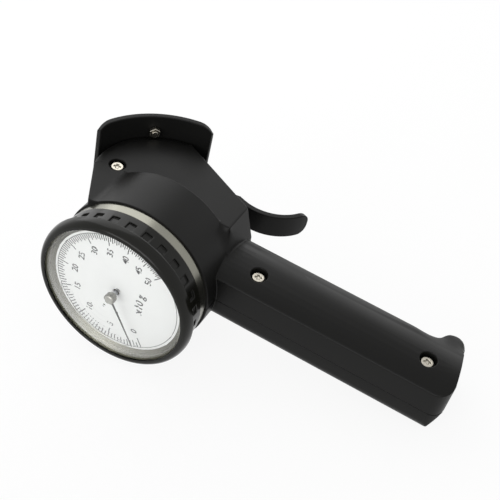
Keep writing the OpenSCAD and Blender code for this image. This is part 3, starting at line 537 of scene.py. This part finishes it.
def melted_corner(obj, melt):
    """Lets the faces of a corner flow into each other, as a generous mould radius does."""
    bm = bmesh.new()
    bm.from_mesh(obj.data)
    low = [min(point[i] for point in melt.path) - melt.reach for i in range(3)]
    high = [max(point[i] for point in melt.path) + melt.reach for i in range(3)]
    small = cut_small(bm, low, high, MELT_STEP)
    bm.normal_update()
    tree = BVHTree.FromBMesh(bm)
    rim = KDTree(len(bm.verts))
    for i, vertex in enumerate(bm.verts):
        if any(face.normal.dot(melt.side) > melt.firm for face in vertex.link_faces):
            rim.insert(vertex.co, i)
    rim.balance()
    flowing = {}
    for face in small:
        if sees_open_space(face, tree, melt.side):
            for vertex in face.verts:
                share = min(1, max(0, (1 - from_path(vertex.co, melt.path) / melt.reach) / MELT_FADE))
                if share > 0 and not rim.find_range(vertex.co, FIRM_RIM):
                    flowing[vertex] = share * share * (3 - 2 * share)
    for _ in range(melt.rounds):
        places = []
        for vertex, share in flowing.items():
            near = [edge.other_vert(vertex).co for edge in vertex.link_edges]
            places.append(vertex.co.lerp(sum(near, Vector()) / len(near), MELT_PULL * share))
        for vertex, place in zip(flowing, places):
            vertex.co = place
    bm.to_mesh(obj.data)
    bm.free()


FLAT_TURN = math.radians(0.6)  # neighbouring faces of a solid that turn by less are one flat face
ROUNDING_FACETS = 3
ROUNDING_DEPTH = 0.45          # share of its radius by which a rounding may leave the solid's surface
SHADING_WEIGHT = 60            # how far large faces outweigh small ones in the shading


def rounded_copy(node, material, edge, angle=35, recess=None, melts=()):
    """A copy of a solid that stands for it, with the edges that turn by more than the angle rounded."""
    solid = frame["nodes"][node]
    bm = bmesh.new()
    bm.from_mesh(solid.data)
    bmesh.ops.remove_doubles(bm, verts=bm.verts, dist=SAME_CORNER)
    bmesh.ops.dissolve_limit(bm, angle_limit=FLAT_TURN, verts=bm.verts, edges=bm.edges)
    obj = mesh_object(node + "_rounded", bm)
    obj.data.shade_smooth()
    if recess:
        blades = driver_blades(node + "_blades", bm, recess)
        cut = obj.modifiers.new("Recess", 'BOOLEAN')
        cut.object = blades
        obj = as_plain_mesh(obj)
        bpy.data.objects.remove(blades)
        bm.clear()
        bm.from_mesh(obj.data)
    surface = BVHTree.FromBMesh(bm)
    bm.free()
    bevel = obj.modifiers.new("Edges", 'BEVEL')
    bevel.width = edge
    bevel.segments = ROUNDING_FACETS
    bevel.limit_method = 'ANGLE'
    bevel.angle_limit = math.radians(angle)
    bevel.use_clamp_overlap = False
    bevel.loop_slide = False
    obj = as_plain_mesh(obj)
    # where short edges meet, a rounding can overshoot: it is drawn back to the solid's own surface
    for vertex in obj.data.vertices:
        place, _, _, away = surface.find_nearest(vertex.co)
        if away > ROUNDING_DEPTH * edge:
            vertex.co = place
    for melt in melts:
        melted_corner(obj, melt)
    weighted = obj.modifiers.new("Shading", 'WEIGHTED_NORMAL')
    weighted.keep_sharp = True
    weighted.weight = SHADING_WEIGHT
    obj = as_plain_mesh(obj)
    finished(obj, BODY_OF[node], material)
    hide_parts(node)


def on_meter_axes(x, y, z):
    """Place of a point given in millimetres from the bezel's middle: along, inwards and to the right."""
    return BEZEL_MIDDLE + (ALONG * x + INWARDS * y + RIGHT * z) * MM


def painted(material, *nodes):
    """Gives a material to solids that keep their own shape."""
    for node in nodes:
        data = frame["nodes"][node].data
        data.materials.clear()
        data.materials.append(material)


def settings():
    """The settings that the scene holds."""
    return bpy.context.scene.tension_meter


class METER_OT_casing(bpy.types.Operator):
    """Makes the two moulded halves of the casing"""
    bl_idname = "meter.casing"
    bl_label = "Casing"

    def execute(self, context):
        look = settings().casing
        abs_black = moulded_plastic(
            "moulded satin ABS", look.colour, look.grain / MM, roughness=0.40, depth_mm=0.02)
        # the moulding flows softly from the barrel into the head, and from the heel into the grip
        for node, hand, heel_z in (("right_casing", 1, 13.6), ("left_casing", -1, -8.4)):
            side = RIGHT * hand
            shoulder = Melt(
                path=(on_meter_axes(31, 34, hand * 18), on_meter_axes(28.5, 36.5, hand * 22.5)),
                side=side, reach=9.5 * MM, rounds=120, firm=0.85)
            heel = Melt(
                path=(on_meter_axes(122, 50, heel_z - hand * 1.5), on_meter_axes(131, 49, heel_z)),
                side=side, reach=9 * MM, rounds=140, firm=NONE_FIRM)
            rounded_copy(node, abs_black, edge=look.edge, angle=24, melts=(shoulder, heel))
        return {'FINISHED'}


class METER_OT_guard(bpy.types.Operator):
    """Makes the curved guard in front of the muzzle"""
    bl_idname = "meter.guard"
    bl_label = "Guard"

    def execute(self, context):
        look = settings().casing
        abs_matt = moulded_plastic(
            "moulded matt ABS", look.guard_colour, look.grain / MM, roughness=0.5, depth_mm=0.03)
        rounded_copy("guard", abs_matt, edge=0.5 * MM)
        return {'FINISHED'}


class METER_OT_trigger(bpy.types.Operator):
    """Makes the trigger"""
    bl_idname = "meter.trigger"
    bl_label = "Trigger"

    def execute(self, context):
        look = settings().casing
        nylon = moulded_plastic(
            "moulded nylon", look.trigger_colour, look.grain / MM, roughness=0.42, depth_mm=0.02)
        rounded_copy("trigger", nylon, edge=0.45 * MM)
        return {'FINISHED'}


class METER_OT_bezel(bpy.types.Operator):
    """Makes the bezel, the clear crystal and the ring inside it"""
    bl_idname = "meter.bezel"
    bl_label = "Bezel"

    def execute(self, context):
        look = settings()
        gloss = moulded_plastic(
            "polished black ABS", look.dial.bezel_colour, grain_mm=1.2, roughness=0.2, depth_mm=0.004,
            specular=0.14, coat=0.12)
        rounded_copy("bezel", gloss, edge=0.35 * MM)
        painted(clear_acrylic("clear acrylic"), "crystal")
        satin = turned_metal(
            "satin anodised aluminium", look.fitting.inner_ring, roughness=0.3, radian_mm=0.3)
        painted(satin, "inner_ring")
        bright = turned_metal(
            "turned aluminium", look.fitting.aluminium, roughness=0.3, radian_mm=0.25)
        painted(bright, "gauge_case")
        return {'FINISHED'}


def dial_place(gap):
    """Matrix from the dial's own axes, X to its right and Z up, to a place that far in front of it."""
    place = Matrix((RIGHT, INWARDS, RIGHT.cross(INWARDS))).transposed().to_4x4()
    place.translation = Vector((DIAL_MIDDLE[0], DIAL_LOW[1] - gap, DIAL_MIDDLE[2]))
    return place


# The scale crowds towards its end: turn of a mark, in degrees clockwise from the top, by its value.
SCALE_START = -122.0
SCALE_STEP = 6.986
SCALE_CROWDING = -0.0383

LONG_EVERY = 5  # units from one long mark and numeral to the next

PRINT_GAP = 0.02 * MM      # how far the print stands off the plate
MARK_WIDTH = 0.42 * MM
MARK_THICKNESS = 0.03 * MM
CIRCLE_WIDTH = 0.24 * MM
CIRCLE_THICKNESS = 0.02 * MM
CIRCLE_STEPS = 144
LETTER_HALF = 0.015 * MM   # half the thickness of a letter
LETTER_BOLDER = 0.04 * MM  # how much bolder the letters are than the plain font
UNIT_BELOW = 11.4 * MM     # how far the unit stands below the dial's middle
UNIT_LARGER = 1.32         # its type size against that of the numerals


def scale_turn(value):
    """Turn of a value's mark, in radians clockwise from the top."""
    return math.radians(SCALE_START + SCALE_STEP * value + SCALE_CROWDING * value * value)


def graduation_tree():
    """Geometry nodes that lay a printed mark at each unit of the scale and between two units."""
    tree = bpy.data.node_groups.new("Graduations", 'GeometryNodeTree')
    face = tree.interface
    for name, kind in (("Divisions", 'NodeSocketInt'), ("Radius", 'NodeSocketFloat'),
                       ("Half", 'NodeSocketFloat'), ("Unit", 'NodeSocketFloat'),
                       ("Long", 'NodeSocketFloat'), ("Width", 'NodeSocketFloat'),
                       ("Thickness", 'NodeSocketFloat'), ("Ink", 'NodeSocketMaterial')):
        face.new_socket(name=name, in_out='INPUT', socket_type=kind)
    face.new_socket(name="Geometry", in_out='OUTPUT', socket_type='NodeSocketGeometry')
    given = add(tree, "NodeGroupInput").outputs

    count = add(tree, "ShaderNodeMath", {0: given["Divisions"], 1: 2.0, 2: 1.0}, operation='MULTIPLY_ADD')
    points = add(tree, "GeometryNodeMeshLine", {"Count": count.outputs[0]})
    index = add(tree, "GeometryNodeInputIndex").outputs[0]
    value = add(tree, "ShaderNodeMath", {0: index, 1: 0.5}, operation='MULTIPLY').outputs[0]
    bend = add(tree, "ShaderNodeMath", {
        0: value, 1: SCALE_CROWDING, 2: SCALE_STEP}, operation='MULTIPLY_ADD')
    turn = add(tree, "ShaderNodeMath", {
        0: value, 1: bend.outputs[0], 2: SCALE_START}, operation='MULTIPLY_ADD')
    turn = add(tree, "ShaderNodeMath", {0: turn.outputs[0]}, operation='RADIANS').outputs[0]

    # unit marks are longer than those between them, and those with a numeral are the longest
    length = given["Half"]
    for every, longer in ((1, given["Unit"]), (LONG_EVERY, given["Long"])):
        past = add(tree, "ShaderNodeMath", {0: value, 1: every}, operation='MODULO')
        falls_here = add(tree, "ShaderNodeMath", {0: past.outputs[0], 1: 0.25}, operation='LESS_THAN')
        length = add(tree, "ShaderNodeMix", {
            "Factor": falls_here.outputs[0], "A": length, "B": longer}).outputs[0]
    half = add(tree, "ShaderNodeMath", {0: length, 1: 0.5}, operation='MULTIPLY')
    reach = add(tree, "ShaderNodeMath", {
        0: given["Radius"], 1: half.outputs[0]}, operation='SUBTRACT').outputs[0]

    sine = add(tree, "ShaderNodeMath", {0: turn}, operation='SINE')
    cosine = add(tree, "ShaderNodeMath", {0: turn}, operation='COSINE')
    x = add(tree, "ShaderNodeMath", {0: reach, 1: sine.outputs[0]}, operation='MULTIPLY')
    z = add(tree, "ShaderNodeMath", {0: reach, 1: cosine.outputs[0]}, operation='MULTIPLY')
    place = add(tree, "ShaderNodeCombineXYZ", {"X": x.outputs[0], "Z": z.outputs[0]})
    set_place = add(tree, "GeometryNodeSetPosition", {
        "Geometry": points.outputs["Mesh"], "Position": place.outputs[0]})

    mark = add(tree, "GeometryNodeMeshCube", {"Size": (1, 1, 1)})
    size = add(tree, "ShaderNodeCombineXYZ", {"X": given["Width"], "Y": given["Thickness"], "Z": length})
    swing = add(tree, "ShaderNodeCombineXYZ", {"Y": turn})
    marks = add(tree, "GeometryNodeInstanceOnPoints", {
        "Points": set_place.outputs["Geometry"], "Instance": mark.outputs["Mesh"],
        "Rotation": swing.outputs[0], "Scale": size.outputs[0]})
    real = add(tree, "GeometryNodeRealizeInstances", {"Geometry": marks.outputs["Instances"]})
    inked = add(tree, "GeometryNodeSetMaterial", {
        "Geometry": real.outputs["Geometry"], "Material": given["Ink"]})
    add(tree, "NodeGroupOutput", {"Geometry": inked.outputs["Geometry"]})
    return tree


def node_piece(name, tree, **values):
    """A plain mesh made by a geometry node tree from the named values."""
    obj = linked(bpy.data.objects.new(name, bpy.data.meshes.new(name)))
    maker = obj.modifiers.new(name, 'NODES')
    maker.node_group = tree
    keys = {item.name: item.identifier for item in tree.interface.items_tree if item.in_out == 'INPUT'}
    for key, value in values.items():
        maker[keys[key]] = value
    return as_plain_mesh(obj)


def lettering(name, text, size, place):
    """Printed text as a thin mesh, with its middle at the given place and its face to the front."""
    curve = bpy.data.curves.new(name, 'FONT')
    curve.body = text
    curve.size = size
    curve.align_x = 'CENTER'
    curve.align_y = 'CENTER'
    curve.extrude = LETTER_HALF
    curve.offset = LETTER_BOLDER
    curve.resolution_u = 4
    obj = as_plain_mesh(linked(bpy.data.objects.new(name, curve)))
    obj.data.transform(place @ Matrix.Rotation(math.radians(90), 4, 'X'))
    return obj


def joined(name, pieces):
    """One plain mesh from several."""
    bm = bmesh.new()
    for piece in pieces:
        bm.from_mesh(piece.data)
    bmesh.ops.remove_doubles(bm, verts=bm.verts, dist=SAME_POINT)
    obj = mesh_object(name, bm)
    bm.free()
    for piece in pieces:
        bpy.data.objects.remove(piece)
    return obj


def printed_circle(name, radius):
    """Thin printed ring about the dial axis, in the dial's own axes."""
    bm = bmesh.new()
    for i in range(CIRCLE_STEPS):
        corners = []
        for turn in (i, i + 1):
            a = 2 * math.pi * turn / CIRCLE_STEPS
            corners.append([Vector((r * math.sin(a), y, r * math.cos(a)))
                            for r in (radius, radius + CIRCLE_WIDTH) for y in (-CIRCLE_THICKNESS, 0.0)])
        (a0, a1, a2, a3), (b0, b1, b2, b3) = [[bm.verts.new(p) for p in c] for c in corners]
        for face in ((a0, a2, b2, b0), (a1, b1, b3, a3), (a0, b0, b1, a1), (a2, a3, b3, b2)):
            bm.faces.new(face)
    bmesh.ops.remove_doubles(bm, verts=bm.verts, dist=SAME_POINT)
    bmesh.ops.recalc_face_normals(bm, faces=bm.faces)
    obj = mesh_object(name, bm)
    bm.free()
    return obj


class METER_OT_dial(bpy.types.Operator):
    """Makes the enamelled dial with its printed scale, numerals and unit"""
    bl_idname = "meter.dial"
    bl_label = "Dial"

    def execute(self, context):
        look = settings().dial
        painted(dial_enamel("stoved white enamel", look.paper), "dial_plate")
        ink = printed_ink("pad-printed black ink", look.ink)
        face = dial_place(PRINT_GAP)
        marks = node_piece(
            "dial_graduations", graduation_tree(), Divisions=look.divisions, Radius=look.scale_radius,
            Half=look.half_mark, Unit=look.unit_mark, Long=look.long_mark,
            Width=MARK_WIDTH, Thickness=MARK_THICKNESS, Ink=ink)
        marks.data.transform(face)
        ring = printed_circle("dial_circle", look.scale_radius)
        ring.data.transform(face)
        numerals = []
        for value in range(0, look.divisions + 1, LONG_EVERY):
            turn = scale_turn(value)
            spot = Vector((look.numeral_radius * math.sin(turn), 0, look.numeral_radius * math.cos(turn)))
            numerals.append(lettering("numeral_%d" % value, str(value), look.numeral_size,
                                      face @ Matrix.Translation(spot)))
        below = Matrix.Translation((0, 0, -UNIT_BELOW))
        unit_size = look.numeral_size * UNIT_LARGER
        numerals.append(lettering("dial_unit", look.unit_text, unit_size, face @ below))
        for piece in (marks, ring, joined("dial_numerals", numerals)):
            finished(piece, "bezel", ink)
        return {'FINISHED'}


def pointer_cap(name, radius, height):
    """Flat turned cap on the front of the pointer's hub."""
    hub_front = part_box("pointer")[0][1]
    bm = bmesh.new()
    bmesh.ops.create_cone(
        bm, cap_ends=True, segments=48, radius1=radius, radius2=0.85 * radius, depth=height)
    place = Matrix.Translation((DIAL_MIDDLE[0], hub_front - height / 2, DIAL_MIDDLE[2]))
    bmesh.ops.transform(bm, matrix=place @ Matrix.Rotation(math.radians(90), 4, 'X'), verts=bm.verts)
    obj = mesh_object(name, bm)
    bm.free()
    return obj


class METER_OT_pointer(bpy.types.Operator):
    """Finishes the pointer and the arbor that carries it"""
    bl_idname = "meter.pointer"
    bl_label = "Pointer"

    def execute(self, context):
        look = settings()
        lacquer = lacquered_pointer("nickel-plated brass, lacquered", look.dial.ink, look.fitting.hub)
        rounded_copy("pointer", lacquer, edge=0.12 * MM)
        nickel = plain_metal("ground nickel silver", look.fitting.cap, roughness=0.35, scratch_mm=0.2)
        cap = pointer_cap("pointer_cap", radius=2.0 * MM, height=0.3 * MM)
        finished(cap, "pointer", nickel)
        drawn = plain_metal("drawn steel", look.fitting.steel, roughness=0.35, scratch_mm=0.3)
        painted(drawn, "pointer_arbor")
        return {'FINISHED'}


class METER_OT_fasteners(bpy.types.Operator):
    """Finishes the screws, nuts, pins and shafts"""
    bl_idname = "meter.fasteners"
    bl_label = "Fasteners"

    def execute(self, context):
        nickel = plain_metal(
            "nickel-plated steel", settings().fitting.nickel, roughness=0.24, scratch_mm=0.4)
        rounded_copy("casing_screws", nickel, edge=0.3 * MM)
        rounded_copy("plate_nuts", nickel, edge=0.25 * MM)
        cross = Recess(reach=1.6 * MM, width=0.8 * MM, depth=0.9 * MM, crossed=True)
        for node in ("plate_screws", "guard_screws"):
            rounded_copy(node, nickel, edge=0.25 * MM, recess=cross)
        slot = Recess(reach=4 * MM, width=0.8 * MM, depth=0.7 * MM, crossed=False)
        for node in ("guide_screws", "measuring_screw"):
            rounded_copy(node, nickel, edge=0.25 * MM, recess=slot)
        painted(nickel, "guide_shafts", "measuring_shaft", "arm_pin", "trigger_pin", "movement_screws",
                "sector_arbor")
        return {'FINISHED'}


class METER_OT_muzzle(bpy.types.Operator):
    """Finishes the roller plate and the grooved rollers"""
    bl_idname = "meter.muzzle"
    bl_label = "Muzzle"

    def execute(self, context):
        look = settings().fitting
        brushed = plain_metal(
            "brushed steel", look.steel, roughness=0.36, scratch_mm=0.25, stretch=(1, 1, 0.04))
        rounded_copy("roller_plate", brushed, edge=0.3 * MM)
        acetal = moulded_plastic(
            "turned acetal", look.roller, grain_mm=0.6, roughness=0.35, depth_mm=0.004)
        for node in ("right_guide_roller", "left_guide_roller", "measuring_roller"):
            rounded_copy(node, acetal, edge=0.2 * MM, angle=50)
        return {'FINISHED'}


class METER_OT_movement(bpy.types.Operator):
    """Finishes the arm, springs and gears inside"""
    bl_idname = "meter.movement"
    bl_label = "Movement"

    def execute(self, context):
        look = settings().fitting
        brass = plain_metal("rolled brass", look.brass, roughness=0.3, scratch_mm=0.3)
        painted(brass, "right_guide_bush", "left_guide_bush", "measuring_bush", "spring_seat",
                "movement_back_plate", "movement_front_plate", "movement_pillars", "sector_gear")
        wire = plain_metal("spring steel", look.steel, roughness=0.3, scratch_mm=0.2)
        painted(wire, "measuring_spring", "trigger_spring")
        cast = plain_metal("cast aluminium", look.aluminium, roughness=0.5, scratch_mm=0.8)
        painted(cast, "measuring_arm")
        return {'FINISHED'}


def area_lamp(name, place, target, size, power):
    """A soft rectangular lamp that points at a target."""
    lamp = bpy.data.lights.new(name, 'AREA')
    lamp.shape = 'RECTANGLE'
    lamp.size, lamp.size_y = size
    lamp.energy = power
    obj = linked(bpy.data.objects.new(name, lamp))
    obj.location = place
    obj.rotation_euler = (Vector(target) - Vector(place)).to_track_quat('-Z', 'Y').to_euler()


def seen_directly(tree):
    """1 where the camera, a reflection or a clear piece looks straight at a surface."""
    path = add(tree, "ShaderNodeLightPath").outputs
    first = add(tree, "ShaderNodeMath", {
        0: path["Is Camera Ray"], 1: path["Is Glossy Ray"]}, operation='MAXIMUM')
    return add(tree, "ShaderNodeMath", {
        0: first.outputs[0], 1: path["Is Transmission Ray"]}, operation='MAXIMUM').outputs[0]


def background_paper(name, colour):
    """White paper: matt with faint fibres, even white where it is looked at, yet it keeps the shadow."""
    material, tree, place = new_material(name)
    fibre = add(tree, "ShaderNodeTexNoise", {"Vector": place, "Scale": per_metre(60), "Detail": 2.0})
    tint = add(tree, "ShaderNodeMix", {
        "Factor": fibre.outputs["Fac"], "A": shade(colour, 0.99), "B": shade(colour)}, data_type='RGBA')
    matt = add(tree, "ShaderNodeBsdfDiffuse", {"Color": tint.outputs["Result"]})
    glow = add(tree, "ShaderNodeEmission", {"Color": (1, 1, 1, 1), "Strength": 1.0})
    share = add(tree, "ShaderNodeMath", {0: seen_directly(tree), 1: 0.9}, operation='MULTIPLY')
    both = add(tree, "ShaderNodeMixShader", {
        "Fac": share.outputs[0], 1: matt.outputs["BSDF"], 2: glow.outputs["Emission"]})
    add(tree, "ShaderNodeOutputMaterial", {"Surface": both.outputs["Shader"]})
    return material


def studio_world(name):
    """Dim even light from all round, which is white where it is looked at."""
    world = bpy.data.worlds.new(name)
    world.use_nodes = True
    sky = world.node_tree
    sky.nodes.clear()
    ambient = add(sky, "ShaderNodeBackground", {"Color": (1, 1, 1, 1), "Strength": 0.6})
    backdrop = add(sky, "ShaderNodeBackground", {"Color": (1, 1, 1, 1), "Strength": 1.0})
    shown = add(sky, "ShaderNodeMixShader", {
        "Fac": seen_directly(sky), 1: ambient.outputs["Background"], 2: backdrop.outputs["Background"]})
    add(sky, "ShaderNodeOutputWorld", {"Surface": shown.outputs["Shader"]})
    return world


FLOOR_REACH = 6  # metres from the middle of the floor to its sides


class METER_OT_stage(bpy.types.Operator):
    """Sets up the floor, the lamps and the camera"""
    bl_idname = "meter.stage"
    bl_label = "Stage"

    def execute(self, context):
        look = settings().stage
        scene = context.scene
        scene.view_settings.view_transform = 'Standard'

        bm = bmesh.new()
        bmesh.ops.create_grid(bm, x_segments=1, y_segments=1, size=FLOOR_REACH)
        floor = mesh_object("floor", bm)
        bm.free()
        floor.data.materials.append(background_paper("white background paper", look.floor_colour))

        scene.world = studio_world("studio")
        middle, head = (0, 0, 0.04), (-0.05, 0.01, 0.06)
        area_lamp("back window", (0.1, 0.95, 0.32), middle, size=(0.9, 0.4), power=2.0)
        area_lamp("high left softbox", (-0.26, 0.2, 0.38), head, size=(0.5, 0.5), power=1.1)
        area_lamp("low left softbox", (-0.8, 0.35, 0.22), middle, size=(0.6, 0.6), power=0.5)
        area_lamp("front fill", (-0.1, -0.95, 0.35), middle, size=(0.8, 0.5), power=3.8)

        lens = bpy.data.cameras.new("camera")
        lens.lens = look.focal_length
        lens.sensor_width = 36
        lens.clip_start = 0.01
        camera = linked(bpy.data.objects.new("camera", lens))
        camera.location = look.camera_place
        camera.rotation_euler = look.camera_turn
        scene.camera = camera
        return {'FINISHED'}


OPERATORS = (METER_OT_casing, METER_OT_guard, METER_OT_trigger, METER_OT_bezel, METER_OT_dial,
             METER_OT_pointer, METER_OT_fasteners, METER_OT_muzzle, METER_OT_movement, METER_OT_stage)


class METER_PT_panel(bpy.types.Panel):
    """Lists the meter's settings and the steps that make it"""
    bl_idname = "METER_PT_panel"
    bl_label = "Wire Tension Meter"
    bl_space_type = 'VIEW_3D'
    bl_region_type = 'UI'
    bl_category = "Tension Meter"

    def draw(self, context):
        layout = self.layout
        for group in ("casing", "dial", "fitting", "stage"):
            owner = getattr(context.scene.tension_meter, group)
            box = layout.box()
            for key in owner.__annotations__:
                box.prop(owner, key)
        for operator in OPERATORS:
            layout.operator(operator.bl_idname)


CLASSES = (CasingSettings, DialSettings, FittingSettings, StageSettings, MeterSettings,
           *OPERATORS, METER_PT_panel)


def register():
    """Adds the meter's classes and settings."""
    for cls in CLASSES:
        bpy.utils.register_class(cls)
    bpy.types.Scene.tension_meter = PointerProperty(type=MeterSettings)


def unregister():
    """Takes the meter's settings and classes away again."""
    del bpy.types.Scene.tension_meter
    for cls in reversed(CLASSES):
        bpy.utils.unregister_class(cls)


def main():
    """Makes the pieces and the stage."""
    register()
    bpy.ops.meter.casing()
    bpy.ops.meter.guard()
    bpy.ops.meter.trigger()
    bpy.ops.meter.bezel()
    bpy.ops.meter.dial()
    bpy.ops.meter.pointer()
    bpy.ops.meter.fasteners()
    bpy.ops.meter.muzzle()
    bpy.ops.meter.movement()
    bpy.ops.meter.stage()


if __name__ == "__main__":
    main()
